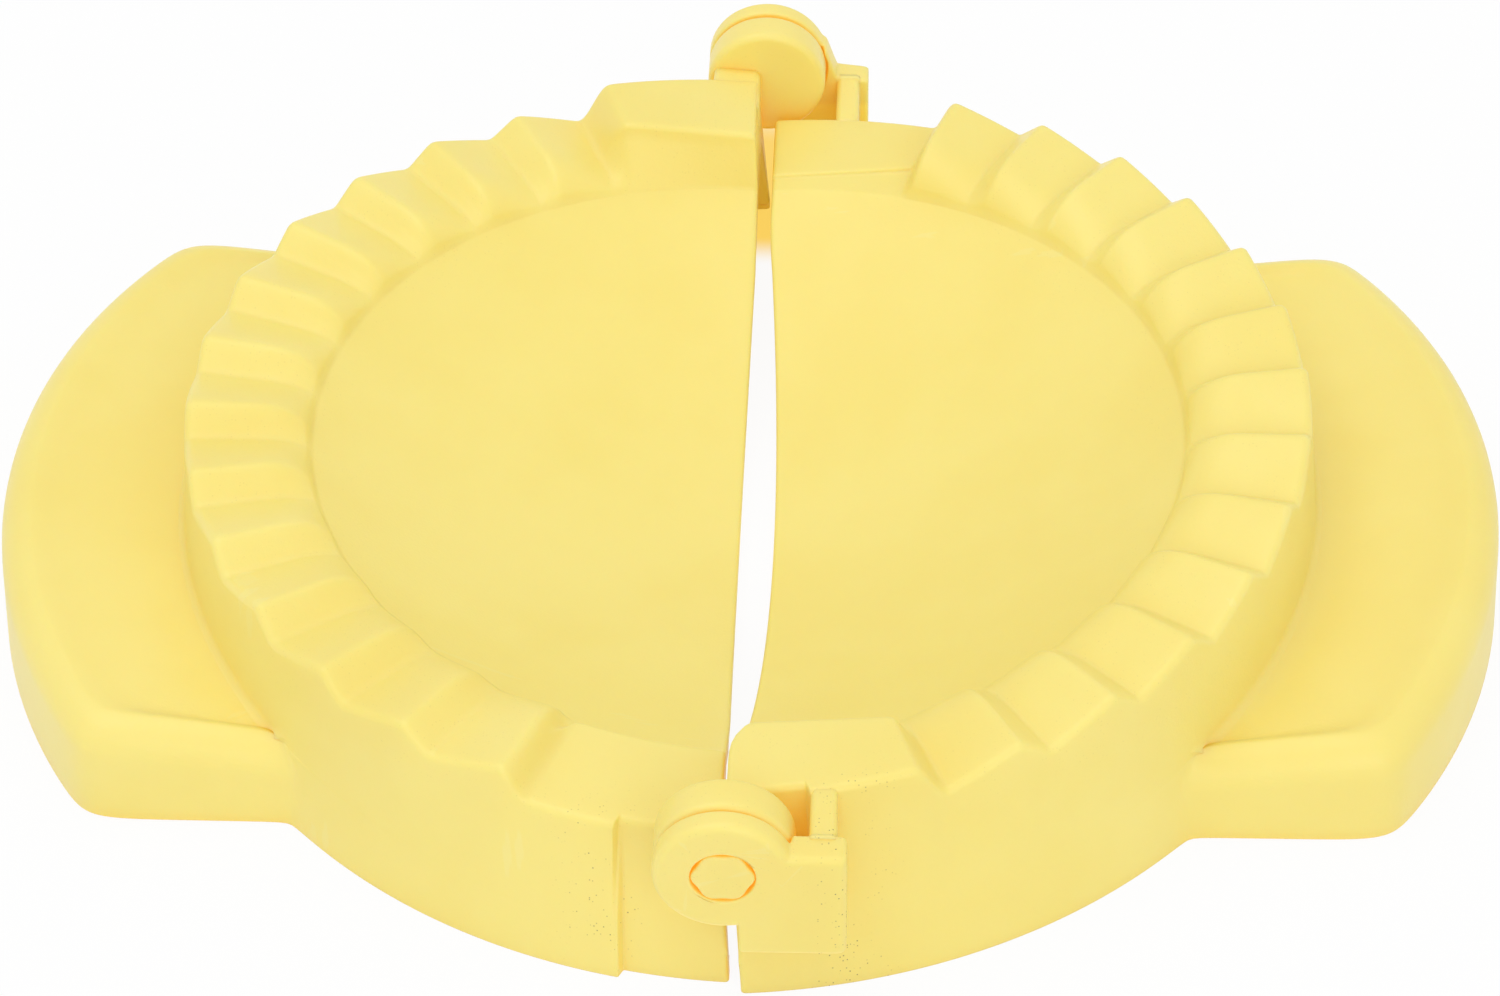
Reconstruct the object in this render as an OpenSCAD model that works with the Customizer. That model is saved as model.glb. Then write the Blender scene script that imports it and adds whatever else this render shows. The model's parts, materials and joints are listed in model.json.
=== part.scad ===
// Hinged dough press in two plastic mouldings.
// It lies open and flat on the table, hinge line along Y, one jaw on each side.
// Each jaw is drawn once on the +X side: u runs away from the hinge line, and the
// rim plane, the teeth and the bowl rise with u by the rim tilt about the hinge axis.

/* [Rim and teeth] */
// Outer radius of the toothed rim
rim_r = 52; // [50:0.5:54]
// Width of the toothed ring
ring_w = 9.7; // [8.5:0.1:10.5]
// Teeth on each jaw
teeth = 13; // [9:1:15]
// Height of a tooth from valley to crest
tooth_h = 2.25; // [1:0.05:2.4]
// Distance of the pin jaw's tooth valleys below its rim plane
pin_valley = 2.55; // [2.4:0.05:2.8]
// Distance of the ear jaw's tooth valleys below its rim plane
ear_valley = 1.8; // [1.6:0.05:2.2]
// Angle of the flat land at each end of the rim
land_deg = 20; // [18:0.5:22]
// Distance of the straight inner edge of a land from the middle
land_in = 42; // [41:0.5:42.5]
// Height of the raised lands above the rim plane
high_land = 1.65; // [1.2:0.05:1.8]
// Depth of the lowered lands below the rim plane
low_land = 3.2; // [3:0.05:3.4]
// Length of a steep tooth face along the rim
steep_len = 2.4; // [1.4:0.1:2.6]
// Angle by which the rim rises away from the hinge
rim_tilt = 4.7; // [3:0.1:5]

/* [Bowl] */
// Radius of the bowl at its edge
bowl_r = 40.4; // [39:0.1:41]
// Depth of the bowl edge below the hinge plane
bowl_edge_drop = 3.8; // [3.6:0.1:3.9]
// Depth of the bowl floor below its edge
bowl_depth = 11; // [9:0.1:11.1]
// Wall of the mouldings
wall = 1.8; // [1.5:0.1:2]

/* [Skirt and grip] */
// Height of the hinge axis above the table
hinge_z = 16.8; // [16.7:0.1:18]
// Radius of the foot of the skirt
foot_r = 56.7; // [55:0.1:57]
// Distance of the foot's centre behind the hinge line
foot_back = 3; // [2:0.5:4]
// Half length of the grip along the hinge line
grip_half = 37.1; // [34:0.1:38]
// Radius of the grip's outer edge
grip_r = 62.3; // [60:0.1:65]
// Distance of that radius's centre from the hinge line
grip_centre = 8; // [5:0.5:9]
// Height of the grip's top where it would meet the hinge line
grip_z = 2.65; // [2.2:0.05:3.2]
// Slope of the grip's top
grip_tilt = 7.2; // [6:0.1:7.6]
// Rounding of the grip's top edge
grip_edge = 3.2; // [2:0.1:3.4]

/* [Hinge] */
// Distance of the ears' outer faces from the middle
ear_y = 59.6; // [58.5:0.1:60]
// Thickness of an ear
ear_t = 2.6; // [2:0.1:2.8]
// Radius of ears and knuckles
ear_r = 5.95; // [5:0.05:6]
// Radius of the stub pins
pin_r = 2.5; // [2:0.05:2.8]
// Clearance round a pin, on the radius
pin_gap = 0.08; // [0.05:0.01:0.15]
// Thickness of a knuckle
knuckle_t = 3.3; // [2:0.1:3.4]
// Gap between an ear and a knuckle
side_gap = 0.3; // [0.2:0.05:0.5]
// Distance of an ear plate's outer edge from the hinge line
plate_u = 10.3; // [9.5:0.1:11]
// Depth of an ear plate below the hinge axis
plate_drop = 9.1; // [8:0.1:9.5]
// Height of the near ear plate above the hinge axis
near_rise = 2.3; // [1.5:0.1:2.4]
// Height of the far ear plate above the hinge axis, below it where negative
far_rise = -1.5; // [-2:0.1:-1]
// Height of the far plate's shoulder beside its ring
shoulder_rise = 1.9; // [1:0.1:2.2]

/* [Cut faces along the hinge line] */
// Gap between the pin jaw's end walls and the hinge line, at the height of the axis
pin_cut_gap = 0.7; // [0.5:0.05:0.9]
// Lean of the pin jaw's end walls towards the hinge line, going down
pin_cut_lean = 2.9; // [0:0.1:3]
// Gap between the ear jaw's near end wall and the hinge line, at the height of the axis
ear_near_gap = 0.1; // [0.05:0.05:0.5]
// Gap between the ear jaw's far end wall and the hinge line, at the height of the axis
ear_far_gap = 0.7; // [0.3:0.05:0.9]
// Lean of the ear jaw's end walls away from the hinge line, going down
ear_cut_lean = 3.8; // [2:0.1:4]
// Gap between the pin jaw's bowl and the hinge line, halfway down
pin_bowl_gap = 0.5; // [0.3:0.05:0.7]
// Lean of the pin jaw's bowl edge away from the hinge line, from there down
pin_bowl_lean = 3.5; // [0:0.1:5]
// Gap between the ear jaw's bowl and the hinge line, halfway down
ear_bowl_gap = 1.15; // [0.9:0.05:1.3]
// Lean of the ear jaw's bowl edge away from the hinge line, from there down
ear_bowl_lean = 9.4; // [4:0.1:10]
// Reach of the pin jaw's set-back wall from the hinge line, at the near end
recess_u = 9.3; // [8:0.1:10]
// Depth of that set-back
recess_d = 0.95; // [0.5:0.05:1.1]

/* [Hidden] */
plastic = [0.976, 0.902, 0.525];
rim_edge = 0.5;
pitch = (180 - 2 * land_deg) / teeth;
steep_half = steep_len / 2 / rim_r * 180 / PI;
bowl_edge_z = hinge_z - bowl_edge_drop;
bowl_sphere_r = (bowl_r * bowl_r + bowl_depth * bowl_depth) / (2 * bowl_depth);
bowl_steps = 6;
grip_start = acos(grip_half / (rim_r + 2));
grip_corner = atan2(grip_centre + sqrt(grip_r * grip_r - grip_half * grip_half), grip_half);
grip_inset = 0.4;
corner_power = 50;
knuckle_y = ear_y - ear_t - side_gap - knuckle_t;
recess_deg = asin(recess_u / rim_r);
plate_in = 1.2;
web_t = 2.3;
web_out = plate_u - 0.9;
web_end = rim_r - 1.4;
pocket_deg = asin((web_out - web_t) / rim_r);
shoulder_u = 6.4;
bridge_u = 0.9;
bridge_end = rim_r - 5;
bowl_half_z = 9;

// Moves a point of the rim frame (u, y, height over the hinge plane) into the part's frame
function rim_point(u, y, w) = [u * cos(rim_tilt) - w * sin(rim_tilt), y,
    hinge_z + u * sin(rim_tilt) + w * cos(rim_tilt)];

// Angles along the rim at which the jaw has a section, from the near to the far hinge
function mirrored(list) = [for (i = [len(list) - 1 : -1 : 0]) 180 - list[i]];
tooth_angles = [for (k = [0 : teeth]) let (a = land_deg + k * pitch)
    each concat([a - steep_half, a, a + steep_half], k < teeth ? [a + pitch * 0.5] : [])];
land_angles = [0, 4, pocket_deg - 0.25, pocket_deg + 0.25, recess_deg - 0.25, recess_deg + 0.25, 15];
grip_angles = [grip_start - 4, grip_start, grip_start + 3,
    grip_corner - 3, grip_corner - 1, grip_corner + 1, grip_corner + 3];
all_angles = concat(land_angles, tooth_angles, mirrored(land_angles), grip_angles, mirrored(grip_angles));
function sorted(list) = len(list) < 2 ? list : let (
    pivot = list[floor(len(list) / 2)],
    below = [for (v = list) if (v < pivot) v],
    same = [for (v = list) if (v == pivot) v],
    above = [for (v = list) if (v > pivot) v]) concat(sorted(below), same, sorted(above));
function spaced(list, least) = [for (i = [0 : len(list) - 1])
    if (i == 0 || list[i] - list[i - 1] > least) list[i]];
angles = spaced(sorted(all_angles), 0.35);
last = len(angles) - 1;

// Share of the tooth height at angle a: 0 in a valley, 1 on a crest
function step_share(a, k) = (a - (land_deg + k * pitch - steep_half)) / (2 * steep_half);
function tooth_index(a) = max(-1, min(teeth, floor((a - land_deg - steep_half) / pitch)));
function ramp_share(a) = let (k = tooth_index(a), start = land_deg + k * pitch + steep_half)
    (a - start) / (pitch - 2 * steep_half);
function falling(a) = let (k = tooth_index(a), f = ramp_share(a))
    f <= 1 ? 1 - max(0, f) : min(1, step_share(a, k + 1));

// Height of the rim over the rim plane; kind 0 rises steeply towards the far end, kind 1 falls
function rim_w(a, kind) = let (
        first = land_deg - steep_half, final = 180 - land_deg + steep_half,
        near_w = kind == 0 ? -low_land : high_land,
        far_w = kind == 0 ? high_land : -low_land,
        share = kind == 0 ? falling(a) : 1 - falling(a))
    a <= first ? near_w : a >= final ? far_w : -(kind == 0 ? pin_valley : ear_valley) + tooth_h * share;

// Radius of the skirt's foot and of the grip's outline at polar angle a
function foot_at(a) = let (s = foot_back * sin(a)) sqrt(foot_r * foot_r - pow(foot_back * cos(a), 2)) - s;
function grip_arc(a, inset) = let (r = grip_r - inset)
    grip_centre * sin(a) + sqrt(r * r - pow(grip_centre * cos(a), 2));
function grip_at(a, inset) = let (
        side = (grip_half - inset) / max(0.02, abs(cos(a))), arc = grip_arc(a, inset))
    pow(pow(side, -corner_power) + pow(arc, -corner_power), -1 / corner_power);
function skirt_at(a, z, inset) = let (top = hinge_z + rim_r * sin(a) * sin(rim_tilt) - low_land,
        f = min(1, max(0, z / top))) (1 - f) * foot_at(a) + f * rim_r - inset;
function grip_top(a, r, drop) = grip_z + r * sin(a) * tan(grip_tilt) - drop;

// Point on a level outline at polar angle a
function level_point(a, r, z) = [r * sin(a), -r * cos(a), z];
function grip_row(a, inset, drop, skin) = let (r0 = grip_at(a, inset),
        z = max(skin > 0 ? 0.2 : 0.4, grip_top(a, r0, drop)))
    level_point(a, max(skirt_at(a, z, skin), r0), z);

// Bowl surface: a sphere through the bowl's edge, grown by the wall for its underside
function bowl_w(u, y, grow) = let (r = bowl_sphere_r + grow)
    bowl_sphere_r - bowl_depth - bowl_edge_drop - sqrt(r * r - u * u - y * y);

// Inner edge of the ring and the lands; the near land of kind 0 follows the bowl
function edge_r(a, kind) = a >= land_deg && a <= 180 - land_deg ? rim_r - ring_w
    : kind == 0 && a < land_deg ? bowl_r + 0.7
    : min(land_in / abs(cos(a)), rim_r - ring_w + 1.6);

function bowl_point(a, step, grow) = let (
        f = step / bowl_steps, r = bowl_r + grow * 0.35,
        u = r * sin(a) * (1 - f), y = -r * cos(a)) rim_point(u, y, bowl_w(u, y, grow));

// Section of a jaw at angle a, as a closed loop of points
function section(a, kind) = let (w = rim_w(a, kind), under = -low_land - wall) concat(
    [level_point(a, max(foot_at(a), grip_at(a, 0)), 0),
     grip_row(a, grip_inset, grip_edge, 0),
     grip_row(a, grip_inset + grip_edge * 0.3, grip_edge * 0.3, 0),
     grip_row(a, grip_inset + grip_edge, 0, 0)],
    [let (r = skirt_at(a, grip_z + rim_r * sin(a) * tan(grip_tilt) + 1, 0))
        level_point(a, r, grip_top(a, r, -0.9)),
     rim_point(rim_r * sin(a), -rim_r * cos(a), w - rim_edge),
     rim_point((rim_r - rim_edge) * sin(a), -(rim_r - rim_edge) * cos(a), w),
     rim_point(edge_r(a, kind) * sin(a), -edge_r(a, kind) * cos(a), w)],
    [for (i = [0 : bowl_steps]) bowl_point(a, i, 0)],
    [for (i = [bowl_steps : -1 : 0]) bowl_point(a, i, wall)],
    [rim_point((rim_r - wall - 0.3) * sin(a), -(rim_r - wall - 0.3) * cos(a), under),
     let (r = skirt_at(a, grip_z + rim_r * sin(a) * tan(grip_tilt), wall))
        level_point(a, r, grip_top(a, r, wall - 0.6)),
     grip_row(a, grip_inset + grip_edge + 0.4, wall, wall),
     grip_row(a, grip_inset + wall, grip_edge + 0.4, wall),
     level_point(a, max(foot_at(a) - wall, grip_at(a, wall)), 0)]);
rows = len(section(90, 0));
first_bowl = 8;
last_bowl = first_bowl + 2 * bowl_steps + 1;

// Cut faces: each end wall lies in one leaning plane, and the bowl's edge falls back below its rim
function wall_cut(z, kind, far) = (kind == 0 ? pin_cut_gap : far ? ear_far_gap : ear_near_gap)
    + (hinge_z - z) * tan(kind == 0 ? -pin_cut_lean : ear_cut_lean);
function bowl_cut(p, kind) = let (
        along = min(1, max(0, 0.5 + p[1] / bowl_r / 2)),
        up = min(1, max(0, (p[2] - bowl_half_z) / (bowl_edge_z - bowl_half_z))),
        rim = (1 - along) * wall_cut(bowl_edge_z, kind, false) + along * wall_cut(bowl_edge_z, kind, true),
        down = kind == 0 ? pin_bowl_gap + max(0, bowl_half_z - p[2]) * tan(pin_bowl_lean)
            : ear_bowl_gap + (bowl_half_z - p[2]) * tan(ear_bowl_lean))
    up * rim + (1 - up) * down;
function is_end(i) = i == 0 || i == last;
function is_bowl_end(j) = j == first_bowl + bowl_steps || j == first_bowl + bowl_steps + 1;
function on_cut(p, i, j, kind) = is_end(i) ? [wall_cut(p[2], kind, i == last), p[1], p[2]]
    : is_bowl_end(j) ? [bowl_cut(p, kind), p[1], p[2]] : p;

// Beside the near hinge the wall stands back: the whole wall of kind 0, the top of the wall of kind 1
function is_set_back(a, j, kind) = kind == 0 ? a < recess_deg && (j < first_bowl - 1 || j > last_bowl)
    : a < pocket_deg && (j == 5 || j == 6);
function set_back(p, i, j, kind) = is_set_back(angles[i], j, kind) ? [p[0], p[1] + recess_d, p[2]] : p;

// Past the ends of the bowl its rows are one point
function merged(i, j) = is_end(i) && j > first_bowl && j < last_bowl
    ? (j <= first_bowl + bowl_steps ? first_bowl : last_bowl) : j;
function index(i, j) = i * rows + merged(i, j % rows);
function distinct(f) = f[0] != f[1] && f[1] != f[2] && f[2] != f[0];

module jaw_shell(kind) {
    points = [for (i = [0 : last]) let (s = section(angles[i], kind))
        for (j = [0 : rows - 1]) set_back(on_cut(s[j], i, j, kind), i, j, kind)];
    walls = [for (i = [0 : last - 1]) for (j = [0 : rows - 1])
        let (a = index(i, j), b = index(i + 1, j), c = index(i + 1, j + 1), d = index(i, j + 1))
        each [[a, c, b], [a, d, c]]];
    far_end = [for (j = [0 : rows - 1]) if (merged(0, j) == j) last * rows + j];
    near_end = [for (k = [len(far_end) - 1 : -1 : 0]) far_end[k] - last * rows];
    polyhedron(points, concat([for (f = walls) if (distinct(f)) f], [near_end], [far_end]), convexity = 10);
}

module at_hinge(y) translate([0, y, hinge_z]) rotate([90, 0, 0]) children();

// Knuckle disc with its stub pin, and the bridge of the given width and height that joins it to the wall
module knuckle(width, low, high) {
    at_hinge(-knuckle_y) cylinder(r = ear_r, h = knuckle_t, $fn = 96);
    at_hinge(-knuckle_y - 1) cylinder(r = pin_r, h = ear_y - knuckle_y - 1, $fn = 96);
    translate([bridge_u, -knuckle_y - 1, hinge_z + low])
        cube([width, knuckle_y + 1 - bridge_end, high - low]);
}

module knuckles() {
    knuckle(2.5, -4.7, -low_land - 0.3);
    mirror([0, 1, 0]) knuckle(4.3, -2.4, high_land - 0.4);
}

// Ear plate with its eye and shoulder, and the web that ties it to the wall under the land
module ear(rise, shoulder, web_rise) {
    difference() {
        union() {
            at_hinge(-ear_y + ear_t) cylinder(r = ear_r, h = ear_t, $fn = 96);
            ear_block(plate_u, rise);
            ear_block(shoulder_u, shoulder);
        }
        at_hinge(-ear_y + ear_t + 1) cylinder(r = pin_r + pin_gap, h = ear_t + 2, $fn = 96);
    }
    translate([web_out - web_t, -ear_y + ear_t - 0.5, hinge_z - plate_drop])
        cube([web_t, ear_y - ear_t + 0.5 - web_end, plate_drop + web_rise]);
}

module ear_block(reach, rise) translate([plate_in, -ear_y, hinge_z - plate_drop])
    cube([reach - plate_in, ear_t, plate_drop + rise]);

module ears() {
    ear(near_rise, near_rise - 0.4, near_rise - 0.15);
    mirror([0, 1, 0]) ear(far_rise, shoulder_rise, -low_land + 0.4);
}

module pin_jaw() color(plastic) mirror([1, 0, 0]) {
    jaw_shell(0);
    knuckles();
}

module ear_jaw() color(plastic) {
    jaw_shell(1);
    ears();
}

pin_jaw();
ear_jaw();
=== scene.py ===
"""Looks of the empanada press: two toothed half bowls of yellow plastic, hinged by moulded pins.

Every shape is worked out in millimetres in the jaw's own directions: u runs away from the
hinge line, y along it and z up. The ear jaw lies on the +X side and the pin jaw on the -X side.
"""

import json

import bmesh
import bpy
import numpy as np
from bpy.props import FloatProperty, FloatVectorProperty, PointerProperty
from mathutils import Matrix, Vector


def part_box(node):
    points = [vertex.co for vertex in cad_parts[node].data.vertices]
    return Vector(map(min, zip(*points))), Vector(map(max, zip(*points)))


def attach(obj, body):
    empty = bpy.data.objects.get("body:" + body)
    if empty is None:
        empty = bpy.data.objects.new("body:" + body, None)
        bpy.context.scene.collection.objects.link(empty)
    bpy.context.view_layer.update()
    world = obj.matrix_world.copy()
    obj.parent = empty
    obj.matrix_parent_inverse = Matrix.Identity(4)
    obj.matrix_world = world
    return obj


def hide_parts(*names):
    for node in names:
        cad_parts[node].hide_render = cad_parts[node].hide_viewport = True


bl_info = {
    "name": "Empanada Press",
    "version": (1, 0, 0),
    "blender": (4, 5, 0),
    "location": "View3D > Sidebar > Press",
    "description": "Builds a hinged dough press with its finish, light and camera",
    "category": "Add Mesh",
}

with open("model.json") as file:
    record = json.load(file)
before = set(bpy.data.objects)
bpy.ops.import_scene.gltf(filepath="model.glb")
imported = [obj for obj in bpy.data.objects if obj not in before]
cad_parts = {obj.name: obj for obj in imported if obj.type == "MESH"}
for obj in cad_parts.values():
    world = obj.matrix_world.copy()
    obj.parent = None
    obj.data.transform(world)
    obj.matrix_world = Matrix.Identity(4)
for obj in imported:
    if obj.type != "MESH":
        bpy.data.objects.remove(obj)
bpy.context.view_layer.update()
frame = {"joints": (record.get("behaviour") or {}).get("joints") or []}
MM = 0.001
HINGE = next(j for j in frame["joints"] if j["name"] == "jaw_hinge")
HINGE_Z = HINGE["pos_m"][2] / MM
EAR_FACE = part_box("ear_jaw")[1].y / MM
GRIP_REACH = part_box("ear_jaw")[1].x / MM
PIN_JAW, EAR_JAW = 0, 1


def lerp(a, b, t):
    """Straight mix of a and b by t."""
    return a + (b - a) * t


def soft_max(a, b, blend):
    """The larger of a and b, with the corner between them rounded over the length blend."""
    return 0.5 * (a + b + np.sqrt((a - b) ** 2 + blend**2))


def smooth_step(t):
    """0 below 0, 1 above 1, and 3t^2 - 2t^3 between."""
    t = np.clip(t, 0, 1)
    return t * t * (3 - 2 * t)


def points(u, y, z):
    """One array of points from three arrays that broadcast together."""
    return np.stack(np.broadcast_arrays(u, y, z), axis=-1).astype(float)


def grid_faces(rows, cols, wrap_rows=True, wrap_cols=False):
    """Quads of a grid of rows by cols points, closed round its rows or columns where asked."""
    r = np.arange(rows if wrap_rows else rows - 1)
    c = np.arange(cols if wrap_cols else cols - 1)
    i, j = np.meshgrid(r, c, indexing="ij")
    i2, j2 = (i + 1) % rows, (j + 1) % cols
    return np.stack([i * cols + j, i2 * cols + j, i2 * cols + j2, i * cols + j2], axis=-1).reshape(-1, 4)


def make_piece(name, pts, faces, side, caps=(), merge=2e-6):
    """A mesh object from points in mm and faces; side -1 mirrors it onto the pin jaw's side."""
    co = np.array(pts, float).reshape(-1, 3) * MM
    co[:, 0] *= side
    mesh = bpy.data.meshes.new(name)
    mesh.from_pydata(co, [], [list(f) for f in faces] + [list(c) for c in caps])
    bm = bmesh.new()
    bm.from_mesh(mesh)
    bmesh.ops.remove_doubles(bm, verts=bm.verts, dist=merge)
    bmesh.ops.dissolve_degenerate(bm, edges=bm.edges, dist=merge)
    bmesh.ops.recalc_face_normals(bm, faces=bm.faces)
    if bm.calc_volume(signed=True) < 0:
        bmesh.ops.reverse_faces(bm, faces=bm.faces)
    bm.to_mesh(mesh)
    bm.free()
    mesh.shade_smooth()
    piece = bpy.data.objects.new(name, mesh)
    bpy.context.scene.collection.objects.link(piece)
    return piece


def finish_piece(piece, body, material, *nodes):
    """Gives a piece its material and body, and lets it stand for the CAD nodes named."""
    piece.data.materials.append(material)
    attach(piece, body)
    if nodes:
        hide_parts(*nodes)


class JawForm:
    """Formulas of one jaw; kind tells the pin jaw from the ear jaw."""

    def __init__(self, shape, kind):
        self.s, self.kind = shape, kind
        self.tilt = np.radians(shape.rim_tilt)
        self.pitch = (180 - 2 * shape.land_deg) / shape.teeth
        self.half = np.degrees(shape.steep_len / 2 / shape.rim_r)
        self.lean = np.degrees(shape.crest_shift / shape.rim_r) * (1 if kind == PIN_JAW else -1)
        self.sphere = (shape.bowl_r**2 + shape.bowl_depth**2) / (2 * shape.bowl_depth)
        pin = kind == PIN_JAW
        self.valley = shape.pin_valley if pin else shape.ear_valley
        lands = (-shape.low_land, shape.low_land_in), (shape.high_land, shape.high_land_in)
        self.near_land, self.far_land = lands if pin else lands[::-1]
        self.gaps = (shape.pin_cut_gap, shape.pin_cut_gap) if pin else (shape.ear_near_gap, shape.ear_far_gap)
        self.wall_slope = np.tan(np.radians(-shape.pin_cut_lean if pin else shape.ear_cut_lean))
        self.bowl_gap = shape.pin_bowl_gap if pin else shape.ear_bowl_gap
        self.bowl_slope = np.tan(np.radians(shape.pin_bowl_lean if pin else shape.ear_bowl_lean))
        self.foot = shape.foot_r if pin else shape.ear_foot_r
        self.soft = shape.tooth_round if pin else shape.ear_tooth_round
        self.recess = shape.recess_u if pin else shape.pocket_u

    def rim_point(self, u, y, w):
        """Tilts the rim frame about the hinge line: w is the height over the hinge plane."""
        c, s = np.cos(self.tilt), np.sin(self.tilt)
        return points(u * c - w * s, y, HINGE_Z + u * s + w * c)

    def rim_polar(self, a, r, w):
        """Point of the rim frame at polar angle a and radius r."""
        t = np.radians(a)
        return self.rim_point(r * np.sin(t), -r * np.cos(t), w)

    def level_polar(self, a, r, z):
        """Point at polar angle a, radius r and height z over the table."""
        t = np.radians(a)
        return points(r * np.sin(t), -r * np.cos(t), z)

    def wall_cut(self, p):
        """Distance of the walls' leaning cut face from the hinge line at a point. The near corner of
        the ear jaw's raised land is rounded, so there it falls back towards the bowl."""
        y, z = p[..., 1], p[..., 2]
        gap = np.where(y < 0, *self.gaps) + (HINGE_Z - z) * self.wall_slope
        if self.kind == PIN_JAW:
            return gap
        s = self.s
        near = np.clip((s.corner_from + y) / s.corner_run, 0, 1) ** 3.2 * (y < 0)
        return gap + s.corner_depth * near * smooth_step((z - 13.2) / 4)

    def bowl_cut(self, p):
        """Distance of the bowl's cut face: it leaves the walls' face at the bowl's edge and leans
        further back from halfway down."""
        y, z = p[..., 1], p[..., 2]
        s, half_z = self.s, 9.0
        edge_z = HINGE_Z - s.bowl_edge_drop
        along = np.clip(0.5 + y / s.bowl_r / 2, 0, 1)
        rim = lerp(*self.gaps, along) + s.bowl_edge_drop * self.wall_slope
        fall = half_z - z
        down = self.bowl_gap + (np.maximum(0, fall) if self.kind == PIN_JAW else fall) * self.bowl_slope
        return lerp(down, rim, np.clip((z - half_z) / (edge_z - half_z), 0, 1))

    def raw_rim(self, a):
        """Saw profile: a steep face at each step and a gentle ramp between two steps."""
        s = self.s
        low, high = -self.valley, s.tooth_h - self.valley
        a = a - self.lean
        k = np.floor((a - s.land_deg + self.half) / self.pitch)
        along = a - (s.land_deg + k * self.pitch - self.half)
        rise = np.clip(along / (2 * self.half), 0, 1)
        fall = np.clip((along - 2 * self.half) / (self.pitch - 2 * self.half), 0, 1)
        share = np.where(along < 2 * self.half, rise, 1 - fall)
        if self.kind == EAR_JAW:
            share = 1 - share
        near, far = self.end_shares(a)
        near_peak, far_peak = (high, low) if self.kind == PIN_JAW else (low, high)
        teeth = np.where(near > 0, near_peak, np.where(far > 0, far_peak, lerp(low, high, share)))
        return lerp(lerp(teeth, self.near_land[0], near), self.far_land[0], far)

    def end_shares(self, a):
        """1 on the near land and 1 on the far land, 0 elsewhere."""
        s = self.s
        near = smooth_step((s.land_deg + self.half - a) / (2 * self.half))
        far = smooth_step((a - (180 - s.land_deg - self.half)) / (2 * self.half))
        return near, far

    def rim_w(self, a):
        """The saw profile with its corners rounded by a short weighted mean along the rim."""
        offsets = np.linspace(-1, 1, 9)
        weights = np.exp(-3 * offsets**2)
        parts = [w * self.raw_rim(a + o * self.soft) for o, w in zip(offsets, weights)]
        return sum(parts) / weights.sum()

    def land_end(self, a):
        """Radius of a land's inner edge: straight, but round the bowl on the pin jaw's near land."""
        s = self.s
        straight = np.where(a < 90, self.near_land[1], self.far_land[1]) + s.land_round
        end = np.minimum(straight / np.maximum(0.3, np.abs(np.cos(np.radians(a)))), s.rim_r - s.ring_flat)
        return np.where(a < 90, s.bowl_r + 0.7, end) if self.kind == PIN_JAW else end

    def foot_r(self, a):
        """Foot circle, whose centre lies behind the hinge line, as a polar radius."""
        t, c = np.radians(a), self.s.foot_back
        return np.sqrt(self.foot**2 - (c * np.cos(t)) ** 2) - c * np.sin(t)

    def skirt_r(self, a, z):
        """Straight taper from the foot circle to the rim circle."""
        t = np.radians(a)
        top = HINGE_Z + self.s.rim_r * np.sin(t) * np.sin(self.tilt) - self.s.low_land
        return lerp(self.foot_r(a), self.s.rim_r, np.clip(z / top, 0, 1))

    def set_back(self, a, r, z):
        """How far the wall stands back beside the near hinge: the pin jaw's whole wall, and the top
        of the ear jaw's wall between the knuckle and the web."""
        u = r * np.sin(np.radians(a))
        back = self.s.recess_depth * smooth_step((self.recess + 0.2 - u) / 0.4) * (a < 90)
        return back if self.kind == PIN_JAW else back * smooth_step((z - 6.5) / 3)

    def wall_r(self, a, z, skin=0.0):
        """Skirt radius less the skin and the set-back."""
        r = self.skirt_r(a, z)
        return r - self.set_back(a, r, z) * (skin == 0 or self.kind == PIN_JAW) - skin

    def grip_r(self, a, inset):
        """Grip outline less the inset: straight sides and an outer arc, joined by rounded corners."""
        s, t = self.s, np.radians(a)
        side = (s.grip_half - inset) / np.maximum(0.02, np.abs(np.cos(t)))
        arc_r = GRIP_REACH - s.grip_centre - inset
        arc = s.grip_centre * np.sin(t) + np.sqrt(arc_r**2 - (s.grip_centre * np.cos(t)) ** 2)
        p = s.grip_corner
        return (side**-p + arc**-p) ** (-1 / p)

    def grip_top(self, a, r):
        """The grip's top rises with u."""
        return self.s.grip_z + r * np.sin(np.radians(a)) * np.tan(np.radians(self.s.grip_tilt))

    def grip_share(self, a):
        """1 where the grip stands out of the skirt, 0 where the skirt covers it."""
        return smooth_step((self.grip_r(a, 1.0) - self.foot_r(a)) / 2.5)

    def on_side(self, a, inset, z, skin):
        """Outer or inner side at height z: the skirt or the grip, whichever reaches further."""
        z = np.broadcast_to(z, np.shape(a)).astype(float)
        r = soft_max(self.wall_r(a, z, skin), self.grip_r(a, inset + skin), self.s.corner_fillet)
        return self.level_polar(a, r, z)

    def bowl_w(self, u, y, grow):
        """Part of a sphere whose lowest point lies on the hinge line, grown by the wall below."""
        r = self.sphere + grow
        return self.sphere - self.s.bowl_depth - self.s.bowl_edge_drop - np.sqrt(r**2 - u**2 - y**2)


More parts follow.
